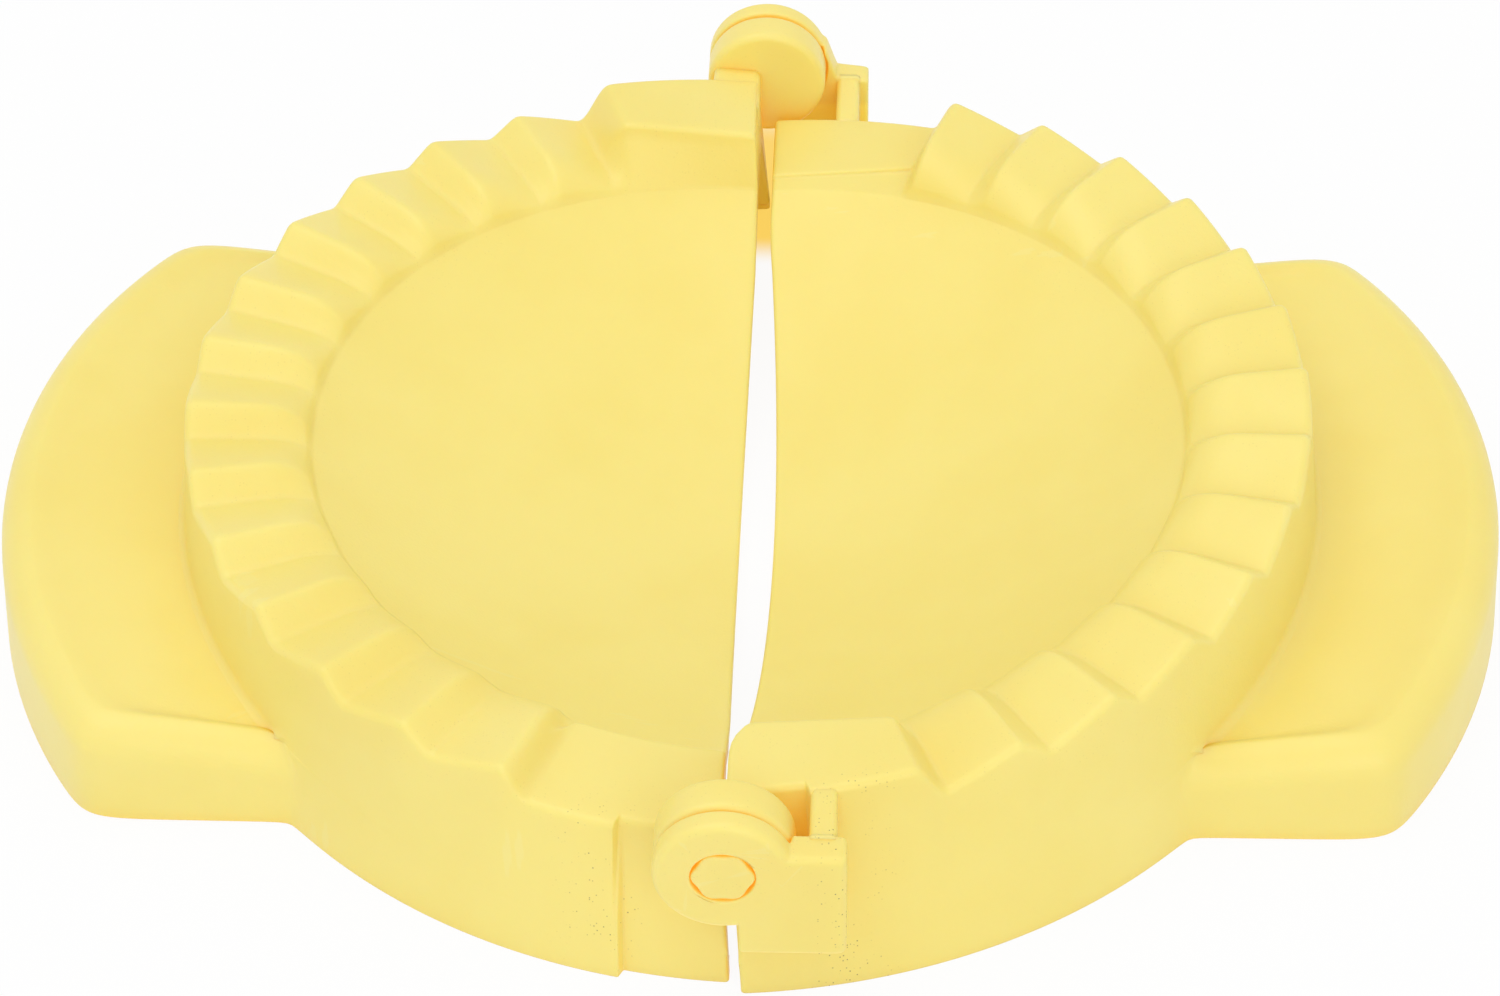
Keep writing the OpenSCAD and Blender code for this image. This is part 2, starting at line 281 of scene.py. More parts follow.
def rim_angles(form):
    """Angles along the rim in degrees: close together at the steps, the cut faces and the corners."""
    s = form.s
    steps = s.land_deg + form.lean + form.pitch * np.arange(s.teeth + 1)
    at_steps = (steps[:, None] + np.linspace(-1.7, 1.7, 15)[None, :]).ravel()
    between = (steps[:-1, None] + form.pitch * np.linspace(0.2, 0.8, 6)[None, :]).ravel()
    end = np.concatenate([[0, 0.04, 0.12, 0.24, 0.42, 0.8], np.arange(1.5, 18, 0.75)])
    recess = np.degrees(np.arcsin(form.recess / (s.rim_r + 2)))
    hinge_side = np.concatenate([end, recess + np.linspace(-0.75, 0.75, 21)])
    start = np.degrees(np.arccos(s.grip_half / (s.rim_r + 2)))
    arc_r = GRIP_REACH - s.grip_centre
    corner = np.degrees(np.arctan2(s.grip_centre + np.sqrt(arc_r**2 - s.grip_half**2), s.grip_half))
    grip = np.concatenate([start + np.linspace(-3, 3, 13), corner + np.linspace(-5, 5, 31)])
    half = np.concatenate([hinge_side, grip])
    angles = np.unique(np.round(np.concatenate([half, 180 - half, at_steps, between]), 3))
    keep = np.concatenate([[True], np.diff(angles) > 0.03])
    angles = angles[keep]
    angles[-1] = 180
    return angles


def spread_to_cut(a, near, far):
    """Squeezes the angles near both ends, so that the first and last lie on the cut face."""
    reach = 14.0
    a = np.where(a < reach, near + a * (reach - near) / reach, a)
    return np.where(a > 180 - reach, 180 - far - (180 - a) * (reach - far) / reach, a)


def jaw_rows(form):
    """Row functions round a jaw's section, from the foot up the outside, over the rim, down the
    bowl to the cut face and back along the underside. Each gives points and the way inwards, and
    comes with the cut face that it ends on."""
    s, rows = form.s, []

    def outward(a, phi):
        t = np.radians(a)
        return -points(np.cos(phi) * np.sin(t), -np.cos(phi) * np.cos(t), np.sin(phi) + 0 * t)

    def add(place, phi, cut=form.wall_cut):
        rows.append((lambda a: (place(a), outward(a, phi)), cut))

    def add_each(place, values, phi=None):
        """A row for each value; without phi the value is also the way that the surface faces."""
        for v in values:
            add(lambda a, v=v: place(a, v), v if phi is None else phi)

    def grip_zt(a):
        return form.grip_top(a, np.maximum(form.grip_r(a, 0), form.foot_r(a)))

    def edge(a, drop=1.0):
        return np.minimum(s.grip_edge, grip_zt(a) - 1.0) * drop

    # foot of the wall, rounded
    def foot(a, k):
        return form.on_side(a, s.foot_round * (1 - np.sin(k)), s.foot_round * (1 - np.cos(k)), 0.0)

    add_each(foot, (0.0, 0.4, 0.8, 1.2, np.pi / 2), 0.0)

    # side of the grip and its rounded upper edge
    def grip_side(a, t):
        return form.on_side(a, s.grip_inset * t, lerp(s.foot_round, grip_zt(a) - edge(a), t), 0.0)

    def grip_round(a, k):
        z = grip_zt(a) - edge(a, 1 - np.sin(k))
        return form.on_side(a, s.grip_inset + edge(a, 1 - np.cos(k)), z, 0.0)

    add_each(grip_side, (0.3, 0.6, 1.0), 0.0)
    add_each(grip_round, np.linspace(0.12, 1, 10) * np.pi / 2)

    # top of the grip, and the fillet up to the skirt
    def grip_flat(a, t):
        share = form.grip_share(a)
        z0 = grip_zt(a)
        outer = np.maximum(form.grip_r(a, s.grip_inset + edge(a)), form.wall_r(a, z0))
        inner = form.wall_r(a, z0) + s.skirt_fillet * share
        r = np.maximum(inner, lerp(outer, inner, t))
        z = lerp(z0 + 0.5 * t, form.grip_top(a, r), share)
        r = lerp(form.wall_r(a, z), r, share)
        return form.level_polar(a, np.maximum(r, form.wall_r(a, z)), z)

    add_each(grip_flat, (0.12, 0.35, 0.6, 0.82, 1.0), np.pi / 2)

    def skirt_foot(a, phi):
        share = form.grip_share(a)
        z0 = lerp(grip_zt(a) + 0.5, form.grip_top(a, form.wall_r(a, 4.0)), share)
        z = z0 + s.skirt_fillet * (1 - np.cos(phi))
        r = form.wall_r(a, z) + s.skirt_fillet * (1 - np.sin(phi)) * share
        return form.level_polar(a, r, z)

    add_each(skirt_foot, (0.35, 0.8, 1.2, np.pi / 2), 0.3)

    # skirt, straight up to the rim
    def rim_edge_point(a, phi):
        w = form.rim_w(a)
        e = s.rim_round
        r = s.rim_r - form.set_back(a, s.rim_r, HINGE_Z) - e * (1 - np.cos(phi))
        return form.rim_polar(a, r, w - e * (1 - np.sin(phi)))

    def skirt(a, t):
        return lerp(skirt_foot(a, np.pi / 2), rim_edge_point(a, 0.0), t)

    add_each(skirt, (0.15, 0.3, 0.45, 0.6, 0.75, 0.9), 0.0)
    add_each(rim_edge_point, np.linspace(0, 1, 7) * np.pi / 2)

    # top of the ring and its inner end
    def flat_end(a):
        share = ((a - form.lean - s.land_deg) / form.pitch) % 1
        tooth = s.rim_r - s.ring_flat - s.tooth_bulge * (np.sin(np.pi * share) - 0.7)
        return lerp(tooth, form.land_end(a), sum(form.end_shares(a)))

    def ring_top(a, t):
        outer = s.rim_r - form.set_back(a, s.rim_r, HINGE_Z) - s.rim_round
        return form.rim_polar(a, lerp(outer, flat_end(a), t), form.rim_w(a))

    add_each(ring_top, np.linspace(0.125, 1, 8), np.pi / 2)

    def inner_end(a, t):
        top, low = form.rim_w(a), -s.bowl_edge_drop
        p = s.lobe_power
        end = flat_end(a)
        tooth_r = lerp(end, s.bowl_r, t)
        tooth_w = low + (top - low) * np.maximum(0, 1 - t**p) ** (1 / p)
        tooth_w = lerp(tooth_w, lerp(top, low, t), 0.25 * t**2)
        turn = np.clip(t / 0.5, 0, 1) * np.pi / 2
        slope = np.clip((t - 0.5) / 0.5, 0, 1)
        soft = np.minimum(s.land_round, 0.5 * (top - low))
        corner_r = end - soft * np.sin(turn)
        corner_w = top - soft * (1 - np.cos(turn))
        land_r = lerp(corner_r, s.bowl_r, slope)
        land_w = lerp(corner_w, low, slope)
        m = sum(form.end_shares(a))
        return form.rim_polar(a, lerp(tooth_r, land_r, m), lerp(tooth_w, land_w, m))

    add_each(inner_end, (0.12, 0.25, 0.38, 0.5, 0.6, 0.7, 0.78, 0.85, 0.91, 0.96, 1.0), np.pi / 2)

    # bowl, in lines of constant y from the rim to the cut face
    def bowl(a, f, grow, d):
        t = np.radians(a)
        r = s.bowl_r + grow * 0.35
        edge_u, y = r * np.sin(t), -r * np.cos(t)
        end_w = form.bowl_w(0.0 * t, y, grow)
        cut = form.bowl_cut(points(0.0, y, HINGE_Z + end_w * np.cos(form.tilt))) + d
        end_u = (cut + end_w * np.sin(form.tilt)) / np.cos(form.tilt)
        u = lerp(edge_u, np.minimum(edge_u, end_u), f)
        return form.rim_point(u, y, form.bowl_w(u, y, grow))

    def add_bowl(f, grow, d, phi):
        add(lambda a: bowl(a, f, grow, d), phi, form.bowl_cut)

    falls = np.concatenate([np.linspace(0.01, 0.1, 5), np.linspace(0.14, 0.98, 24)])
    last_part = (0.42, 0.24, 0.12, 0.04, 0.0)
    for f in falls:
        add_bowl(f, 0.0, last_part[0], np.pi / 2)
    for d in last_part:
        add_bowl(1.0, 0.0, d, np.pi / 2)
    for d in last_part[::-1]:
        add_bowl(1.0, s.wall, d, -np.pi / 2)
    for f in falls[::-3]:
        add_bowl(f, s.wall, last_part[0], -np.pi / 2)

    # underside of the ring, inside of the skirt and the grip
    under = -s.low_land - s.wall

    def under_ring(a, t):
        outer = form.wall_r(a, HINGE_Z - 5, s.wall) - 1.0
        return form.rim_polar(a, lerp(s.bowl_r + 1.2, outer, t), under + 0 * a)

    add_each(under_ring, (0.0, 0.5, 1.0), -np.pi / 2)

    def inside_top(a, t):
        share = form.grip_share(a)
        zt = lerp(grip_zt(a), form.grip_top(a, form.wall_r(a, 4.0)), share) - s.wall + 0.3
        z = np.maximum(zt, 1.0)
        top = form.rim_polar(a, form.wall_r(a, HINGE_Z - 5, s.wall), under - 1.0 + 0 * a)
        foot = form.level_polar(a, form.wall_r(a, z, s.wall), z)
        return lerp(top, foot, t)

    add_each(inside_top, (0.0, 0.33, 0.66, 1.0), np.pi)

    def grip_ceiling(a, t):
        share = form.grip_share(a)
        z0 = np.maximum(grip_zt(a) - s.wall, 0.9)
        wall = form.wall_r(a, z0, s.wall)
        outer = np.maximum(form.grip_r(a, s.grip_inset + edge(a)), wall)
        r = lerp(wall, outer, t)
        z = lerp(z0 - 0.1 * t, np.maximum(form.grip_top(a, r) - s.wall, 0.8), share)
        return form.level_polar(a, np.maximum(r, form.wall_r(a, z, s.wall)), z)

    def grip_inner_round(a, k):
        fall = np.maximum(0, edge(a) - s.wall)
        z = np.maximum(0.35 + 0.1 * k, grip_zt(a) - s.wall - fall * (1 - np.sin(k)))
        return form.on_side(a, s.grip_inset + fall * (1 - np.cos(k)), z, s.wall)

    def inner_foot(a, step):
        lift, back = step
        return form.on_side(a, -back, lift, s.wall)

    add_each(grip_ceiling, (0.15, 0.5, 0.85), -np.pi / 2)
    add_each(grip_inner_round, (1.2, 0.8, 0.4, 0.0), np.pi)
    add_each(inner_foot, ((0.3, 0.0), (0.08, 0.08), (0.0, 0.3)), np.pi)
    return rows


def jaw_mesh(form):
    """Grid of the whole jaw. Each row is squeezed so that its ends lie on the cut face, and the
    edges there are rounded by moving points inwards by a quarter circle's depth."""
    s, angles, grid = form.s, rim_angles(form), []
    for row, cut in jaw_rows(form):
        p, _ = row(angles)
        r = np.hypot(p[:, 0], p[:, 1])
        share = np.clip((cut(p) - p[:, 0]) / np.maximum(r, 1), -0.2, 0.2)
        near, far = np.degrees(np.arcsin(share))[[0, -1]]
        p, inward = row(spread_to_cut(angles, near, far))
        p[[0, -1], 0] = cut(p)[[0, -1]]
        e = s.cut_round
        depth = np.clip(e - (p[:, 0] - cut(p)), 0, e)
        grid.append(p + inward * (e - np.sqrt(np.maximum(0, e * e - depth**2)))[:, None])
    grid = np.array(grid)
    rows, cols = grid.shape[:2]
    near = [r * cols for r in range(rows)]
    far = [r * cols + cols - 1 for r in range(rows)][::-1]
    return grid, grid_faces(rows, cols), (near, far)


def at_hinge(u, out, w):
    """Point at u and w from the hinge axis, out from the middle along -Y."""
    return points(u, -np.asarray(out, float), HINGE_Z + w)


def revolved(profile, flats, turns=96):
    """A profile of (distance out, radius) turned about the hinge axis. The six flats shave the
    radius by flats at each point, in step with the cosine of six times the angle."""
    profile, flats = np.array(profile, float), np.array(flats, float)
    phi = np.linspace(0, 2 * np.pi, turns, endpoint=False)
    r = profile[:, 1:2] - flats[:, None] * (0.5 - 0.5 * np.cos(6 * phi))[None, :]
    grid = at_hinge(r * np.cos(phi), profile[:, 0:1], r * np.sin(phi))
    return grid, grid_faces(len(profile), turns, wrap_rows=False, wrap_cols=True)


def arc(centre, radius, start, stop, count):
    """Points of a circle arc between two angles in degrees, as (distance out, radius) pairs."""
    t = np.radians(np.linspace(start, stop, count))
    return [(centre[0] + radius * np.sin(k), centre[1] + radius * np.cos(k)) for k in t]


def knuckle_parts(h):
    """Knuckle disc with its stub pin, rounded at every edge, as a revolved profile."""
    inner, outer, tip = h.knuckle_in, h.knuckle_out, EAR_FACE - h.pin_sink
    e, pe = h.edge_round, h.pin_round
    profile = [(inner, 0.0), (inner, h.ear_r - 2 * e), (inner, h.ear_r - e)]
    profile += arc((inner + e, h.ear_r - e), e, -75, 0, 6)
    profile += arc((outer - e, h.ear_r - e), e, 0, 90, 7)
    profile += [(outer, h.pin_r + 1.2), (outer, h.pin_r + 0.3), (outer + 0.08, h.pin_r + 0.08)]
    disc = len(profile)
    profile += [(outer + 0.3, h.pin_r), (tip - pe - 0.4, h.pin_r)]
    profile += arc((tip - pe, h.pin_r - pe), pe, 0, 90, 5)
    profile += [(tip, h.pin_r * 0.6), (tip, h.pin_r * 0.25), (tip, 0.0)]
    flats = np.where(np.arange(len(profile)) < disc, 0.0, h.pin_flats)
    flats[-1] = 0.0
    return revolved(profile, flats)


def bar_parts(u_span, w_span, rows, corner, turns=96):
    """Bar along the hinge line whose section is a rounded rectangle. Each row gives its distance
    out, how much the section grows there and how far its top sinks."""
    psi = np.linspace(0, 2 * np.pi, turns, endpoint=False)
    c, s = np.cos(psi), np.sin(psi)
    out, grow, sink = (np.array(column, float)[:, None] for column in zip(*rows))
    half_u = np.maximum(0, (u_span[1] - u_span[0]) / 2 + grow)
    half_w = np.maximum(0, (w_span[1] - sink - w_span[0]) / 2 + grow)
    r = np.minimum(corner, np.minimum(half_u, half_w))
    u = (u_span[0] + u_span[1]) / 2 + (half_u - r) * np.clip(8 * c, -1, 1) + r * c
    w = (w_span[0] + w_span[1] - sink) / 2 + (half_w - r) * np.clip(8 * s, -1, 1) + r * s
    return at_hinge(u, out, w), grid_faces(len(rows), turns, wrap_rows=False, wrap_cols=True)


def bridge_parts(h, reach, low, top, tilt):
    """Block that joins a knuckle to the wall, between two heights over the hinge axis. It slopes
    with the rim."""
    ends = [(h.bridge_in, -1.0), (h.bridge_in, 0.0), (50.0, 0.0), (52.5, 0.0)]
    ends += [(h.knuckle_in + 0.9, 0.0), (h.knuckle_in + 0.9, -1.0)]
    grid, faces = bar_parts((h.bridge_u, reach), (low, top), [(out, grow, 0.0) for out, grow in ends], 0.7)
    grid[..., 2] += grid[..., 0] * np.tan(tilt)
    return grid, faces


# Distance from the middle at which a web comes out of the wall.
WEB_START = 51.2


def web_parts(h, plate_top, wall_top):
    """Web between an ear plate and the wall: its top runs from the plate's height to the wall's,
    and it spreads in a fillet where it meets the plate."""
    rows = [(h.web_in, -1.0), (h.web_in, 0.0)]
    rows += [(out, 0.0) for out in np.linspace(WEB_START, h.plate_in - h.web_fillet, 6)]
    turns = np.linspace(0.2, 1.4, 5)
    rows += [(h.plate_in - h.web_fillet * (1 - np.sin(k)), h.web_fillet * (1 - np.cos(k))) for k in turns]
    rows += [(h.plate_in + 0.5, h.web_fillet), (h.plate_in + 0.5, -1.0)]
    fall = [(plate_top - wall_top) * (h.plate_in - out) / (h.plate_in - WEB_START) for out, _ in rows]
    rows = [(out, grow, sink) for (out, grow), sink in zip(rows, fall)]
    reach = h.plate_u - 0.9
    return bar_parts((reach - h.web_t, reach), (-h.plate_drop, plate_top), rows, 0.6)


# Point inside an ear's outline, as (u, w), from which its edge is measured.
EAR_CENTRE = (3.5, -2.8)
# Faces of the far plate's shoulder and its sloping top: the way each faces in degrees, and the
# distance of the shoulder's faces from the hinge axis.
FAR_SHOULDER = [(60, 4.65), (18.4, 6.3)]
FAR_PLATE_SLOPE = 83.3


def convex_reach(walls, c, s, inset, power):
    """Distance from the ear's inner centre to a convex outline with rounded corners. Each wall is
    the angle of its outward normal in degrees and its distance from the hinge axis."""
    total = 0.0
    for degrees, reach in walls:
        nu, nw = np.cos(np.radians(degrees)), np.sin(np.radians(degrees))
        shrink = inset * (0.3 if degrees == 180 else 1.0)
        room = reach - shrink - nu * EAR_CENTRE[0] - nw * EAR_CENTRE[1]
        total = total + (np.maximum(nu * c + nw * s, 1e-3) / room) ** power
    return total ** (-1 / power)


def ring_reach(h, c, s, inset):
    """Distance from the ear's inner centre to the ring's edge."""
    r, b = h.ear_r - inset, EAR_CENTRE[0] * c + EAR_CENTRE[1] * s
    return -b + np.sqrt(b * b + r * r - EAR_CENTRE[0] ** 2 - EAR_CENTRE[1] ** 2)


def ear_reach(h, c, s, inset, far):
    """Distance to an ear's edge: the ring, the plate, and at the far end the plate's shoulder."""
    edge, p = ring_reach(h, c, s, inset), h.plate_corner
    sides = [(0, h.plate_u), (180, -h.plate_left), (-90, h.plate_drop)]
    if far:
        edge = soft_max(edge, convex_reach(sides + FAR_SHOULDER, c, s, inset, 3 * p), 0.25)
        return soft_max(edge, convex_reach(sides + [(FAR_PLATE_SLOPE, h.far_plate)], c, s, inset, p), 0.25)
    return soft_max(edge, convex_reach(sides + [(90, h.plate_rise)], c, s, inset, p), 0.25)


def ear_parts(h, far):
    """Ear as a closed sheet wrapped round the eye: out over the front face, round the edge and back
    along the inner face, which steps back behind the ring to make room for the knuckle."""
    phi = np.linspace(0, 2 * np.pi, 480, endpoint=False)
    c, s, e, eye, ce = np.cos(phi), np.sin(phi), h.edge_round, h.eye_r, 0.18
    front, ring_in = EAR_FACE, h.ring_in
    outline, ring = ear_reach(h, c, s, 0.0, far), ring_reach(h, c, s, 0.0)
    back = lerp(ring_in, h.plate_in, smooth_step((outline - ring - 0.15) / 0.4))
    rows = []

    def add(outer, inner, t, out):
        u, w = EAR_CENTRE[0] + outer * c, EAR_CENTRE[1] + outer * s
        rows.append(at_hinge(lerp(u, inner * c, t), out + 0 * phi, lerp(w, inner * s, t)))

    for inner, out in ((eye, lerp(front, ring_in, 0.5)), (eye, front - ce), (eye + ce * 0.3, front - ce * 0.3)):
        add(outline, inner, 1.0, out)
    face = ear_reach(h, c, s, e, far)
    core = np.minimum(face, ring_reach(h, c, s, e + 0.2))
    for t in (1.0, 0.85, 0.6, 0.3, 0.0):
        add(core, eye + ce, t, front)
    for t in (0.5, 1.0):
        add(lerp(core, face, t), eye, 0.0, front)
    for k in np.linspace(0.15, 1, 7) * np.pi / 2:
        add(ear_reach(h, c, s, e * (1 - np.sin(k)), far), eye, 0.0, front - e * (1 - np.cos(k)))
    add(outline, eye, 0.0, lerp(front, back, 0.5))
    for k in np.linspace(0, 1, 5) * np.pi / 2:
        add(ear_reach(h, c, s, 0.4 * e * (1 - np.cos(k)), far), eye, 0.0, back + 0.4 * e * (1 - np.sin(k)))
    rear = ear_reach(h, c, s, 0.4 * e, far)
    add(lerp(rear, np.minimum(rear, ring + 0.4), 0.9), eye, 0.0, back)
    add(np.minimum(rear, ring + 0.4), eye, 0.0, back)
    add(np.minimum(rear, ring + 0.3), eye, 0.0, ring_in)
    for t in (0.3, 0.7, 1.0):
        add(np.minimum(rear, ring - e), eye + ce, t, ring_in)
    add(outline, eye, 1.0, ring_in + ce)
    return np.array(rows), grid_faces(len(rows), len(phi), wrap_rows=True, wrap_cols=True)


def length(label, mm, text):
    """A length setting, given in millimetres."""
    return FloatProperty(name=label, description=text, default=mm * MM, unit="LENGTH", precision=5)


def angle(label, degrees, text):
    """An angle setting, given in degrees."""
    turn = np.radians(degrees)
    return FloatProperty(name=label, description=text, default=turn, subtype="ANGLE", unit="ROTATION")


def number(label, value, text):
    """A plain number setting."""
    return FloatProperty(name=label, description=text, default=value)


def colour(label, value, text):
    """A colour setting in linear light."""
    limits = {"size": 3, "min": 0, "max": 1}
    return FloatVectorProperty(name=label, description=text, default=value, subtype="COLOR", **limits)


class PRESS_jaw_settings(bpy.types.PropertyGroup):
    """Sizes of both jaws"""

    rim_r: length("Rim Radius", 52, "Outer radius of the toothed rim")
    ring_flat: length("Tooth Length", 6.2, "Length of a tooth before its inner end turns down")
    tooth_bulge: length("Tooth Bulge", 1.8, "How far the middle of a tooth's inner end stands in")
    teeth: number("Teeth", 13, "Teeth on each jaw")
    tooth_h: length("Tooth Height", 2.25, "Height from valley to crest")
    pin_valley: length("Pin Jaw Valleys", 2.55, "Depth of the pin jaw's valleys below its rim plane")
    ear_valley: length("Ear Jaw Valleys", 1.8, "Depth of the ear jaw's valleys below its rim plane")
    steep_len: length("Steep Face", 2.8, "Length of a steep tooth face along the rim")
    crest_shift: length("Crest Shift", 0.4, "How far a steep face lies towards its crest")
    tooth_round: number("Tooth Softness", 1.0, "Angle in degrees that rounds the pin jaw's tooth corners")
    ear_tooth_round: number("Ear Tooth Softness", 0.6, "The same angle on the ear jaw")
    lobe_power: number("Tooth End Fullness", 2.3, "Fullness of the teeth's inner ends")
    land_deg: angle("Land Angle", 20, "Angle of the flat land at each end of the rim")
    low_land_in: length("Low Land Edge", 41.7, "Distance of a low land's inner edge from the middle")
    high_land_in: length("High Land Edge", 42.2, "Distance of a high land's inner edge from the middle")
    high_land: length("High Land", 1.65, "Height of the raised lands above the rim plane")
    low_land: length("Low Land", 3.2, "Depth of the lowered lands below the rim plane")
    land_round: length("Land Edge Rounding", 0.7, "Rounding of a land's inner edge")
    corner_from: length("Land Corner Start", 47, "Distance from the middle at which the near corner starts")
    corner_run: length("Land Corner Run", 4.8, "Length of the near corner along the hinge line")
    corner_depth: length("Land Corner Depth", 1.9, "How far the near corner falls back")
    rim_tilt: angle("Rim Tilt", 4.7, "Rise of the rim away from the hinge")
    rim_round: length("Rim Rounding", 0.8, "Rounding of the rim's outer edge")
    bowl_r: length("Bowl Radius", 40.4, "Radius of the bowl at its edge")
    bowl_edge_drop: length("Bowl Edge Depth", 3.8, "Depth of the bowl's edge below the hinge plane")
    bowl_depth: length("Bowl Depth", 11.0, "Depth of the bowl's floor below its edge")
    wall: length("Wall", 1.8, "Wall of the mouldings")
    foot_r: length("Foot Radius", 56.5, "Radius of the foot of the pin jaw's skirt")
    ear_foot_r: length("Ear Jaw Foot", 56.9, "Radius of the foot of the ear jaw's skirt")
    foot_back: length("Foot Centre", 3.0, "Distance of the foot's centre behind the hinge line")
    foot_round: length("Foot Rounding", 0.35, "Rounding of the foot's outer edge")
    grip_half: length("Grip Half Length", 37.1, "Half length of the grip along the hinge line")
    grip_centre: length("Grip Arc Centre", 8.0, "Distance of the grip arc's centre from the hinge line")
    grip_corner: number("Grip Corner", 50, "Sharpness of the grip's outer corners")
    grip_z: length("Grip Height", 2.65, "Height of the grip's top where it would meet the hinge line")
    grip_tilt: angle("Grip Tilt", 7.2, "Slope of the grip's top")
    grip_edge: length("Grip Rounding", 3.2, "Rounding of the grip's upper edge")
    grip_inset: length("Grip Draft", 0.4, "How far the grip's side leans in over its height")
    corner_fillet: length("Corner Fillet", 0.7, "Fillet between the grip and the skirt")
    skirt_fillet: length("Skirt Fillet", 0.9, "Fillet at the foot of the skirt on the grip")
    pin_cut_gap: length("Pin Jaw Gap", 0.7, "Gap between the pin jaw's walls and the hinge line at the axis")
    pin_cut_lean: angle("Pin Jaw Lean", 2.9, "Lean of the pin jaw's walls towards the hinge line, going down")
    ear_near_gap: length("Ear Jaw Near Gap", 0.1, "Gap between the ear jaw's near wall and the hinge line")
    ear_far_gap: length("Ear Jaw Far Gap", 0.7, "Gap between the ear jaw's far wall and the hinge line")
    ear_cut_lean: angle("Ear Jaw Lean", 3.8, "Lean of the ear jaw's walls away from the hinge line, going down")
    pin_bowl_gap: length("Pin Bowl Gap", 0.5, "Gap between the pin jaw's bowl and the hinge line halfway down")
    pin_bowl_lean: angle("Pin Bowl Lean", 3.5, "Lean of the pin jaw's bowl edge from there down")
    ear_bowl_gap: length("Ear Bowl Gap", 1.15, "Gap between the ear jaw's bowl and the hinge line halfway down")
    ear_bowl_lean: angle("Ear Bowl Lean", 9.4, "Lean of the ear jaw's bowl edge from there down")
    cut_round: length("Cut Rounding", 0.4, "Rounding of the cut faces' edges")
    recess_u: length("Recess Reach", 9.3, "Reach of the pin jaw's set-back wall from the hinge line")
    pocket_u: length("Pocket Reach", 7.1, "Reach of the ear jaw's set-back wall from the hinge line")
    recess_depth: length("Recess Depth", 0.95, "Depth of both set-backs")


class PRESS_hinge_settings(bpy.types.PropertyGroup):
    """Sizes of ears, webs, knuckles and pins"""

    ear_r: length("Ear Radius", 5.95, "Radius of ears and knuckles")
    eye_r: length("Eye Radius", 2.76, "Radius of the eye in an ear")
    pin_r: length("Pin Radius", 2.70, "Radius of a stub pin")
    pin_flats: length("Pin Flats", 0.26, "How far the six flats shave the pin")
    pin_round: length("Pin Rounding", 0.25, "Rounding of a pin's end")
    pin_sink: length("Pin Sink", 0.02, "Depth of a pin's end below the ear's face")
    edge_round: length("Edge Rounding", 0.75, "Rounding of ears and knuckles")
    ring_in: length("Ring Inner Face", 57.45, "Distance of a ring's inner face from the middle")
    plate_in: length("Plate Inner Face", 56.55, "Distance of a plate's inner face from the middle")
    knuckle_in: length("Knuckle Inner Face", 53.4, "Distance of a knuckle's inner face from the middle")
    knuckle_out: length("Knuckle Outer Face", 57.2, "Distance of a knuckle's outer face from the middle")
    plate_u: length("Plate Reach", 10.3, "Distance of an ear plate's outer edge from the hinge line")
    plate_rise: length("Plate Rise", 2.3, "Height of an ear plate above the hinge axis")
    plate_drop: length("Plate Drop", 9.1, "Depth of an ear plate below the hinge axis")
    plate_corner: number("Plate Corner", 24, "Sharpness of an ear plate's corners")
    plate_left: length("Plate Inner Edge", 1.2, "Distance of an ear plate's inner edge from the hinge line")
    far_plate: length("Far Plate Top", -0.48, "Distance of the far plate's sloping top from the hinge axis")
    web_t: length("Web Thickness", 2.3, "Thickness of the web behind an ear plate")
    web_in: length("Web Inner End", 50.4, "Distance of a web's inner end from the middle")
    web_fillet: length("Web Fillet", 0.15, "Fillet where a web meets its ear plate")
    bridge_u: length("Bridge Edge", 0.6, "Distance of a bridge's inner side from the hinge line")
    near_bridge: length("Near Bridge Top", -3.1, "Height of the near bridge's top over the hinge axis")
    far_bridge: length("Far Bridge Top", 1.62, "Height of the far bridge's top over the hinge axis")
    bridge_in: length("Bridge Inner End", 47.5, "Distance of a bridge's inner end from the middle")


class PRESS_finish_settings(bpy.types.PropertyGroup):
    """Colours and surface of the plastic"""

    plastic: colour("Plastic", (0.955, 0.80, 0.235), "Colour of the moulding")
    deep: colour("Deep Plastic", (0.935, 0.77, 0.205), "Colour where the moulding is thicker")
    worn: colour("Worn Plastic", (0.93, 0.87, 0.42), "Paler colour of rubbed edges")
    dirt: colour("Dirt", (0.22, 0.15, 0.05), "Colour of the fine specks")
    # painted light: crevices get an orange painted shade and painted glow, and the hollow underneath a painted
    # glow, in place of light that the plastic passes on
    painted_crevice_light: colour("Crevice", (0.95, 0.54, 0.035), "Colour of light that the plastic passes on in a crevice")
    crevice_glow: number("Crevice Glow", 0.21, "Strength of that light")
    hollow_glow: number("Hollow Glow", 0.14, "Strength of the light that comes through into the hollow")
    roughness: number("Roughness", 0.38, "Roughness of the satin surface")
    glow: number("Translucency", 0.25, "Share of light that passes under the surface")
    glow_depth: length("Translucency Depth", 2.0, "Depth that light reaches in the plastic")


class PRESS_stage_settings(bpy.types.PropertyGroup):
    """Camera and light"""

    distance: length("Camera Distance", 428.48, "Distance of the camera from the point it looks at")
    elevation: angle("Camera Elevation", 40.709, "Height of the camera over the table as an angle")
    azimuth: angle("Camera Azimuth", 2.56, "Turn of the camera about the upright axis")
    roll: angle("Camera Roll", -0.835, "Roll of the camera")
    shift_x: length("Camera Offset", -0.089, "Sideways offset of the camera")
    shift_y: length("Camera Lift", 0.586, "Upward offset of the camera")
    look_z: length("Look Height", 8.0, "Height of the point that the camera looks at")
    focal: number("Focal Length", 109.30, "Focal length in millimetres on a 36 mm wide sensor")
    world: number("World Light", 0.77, "Strength of the even light from all round")
    key: number("Key Light", 1.55, "Power of the soft light above the press")
    fill: number("Fill Light", 1.2, "Power of the soft light from the front")


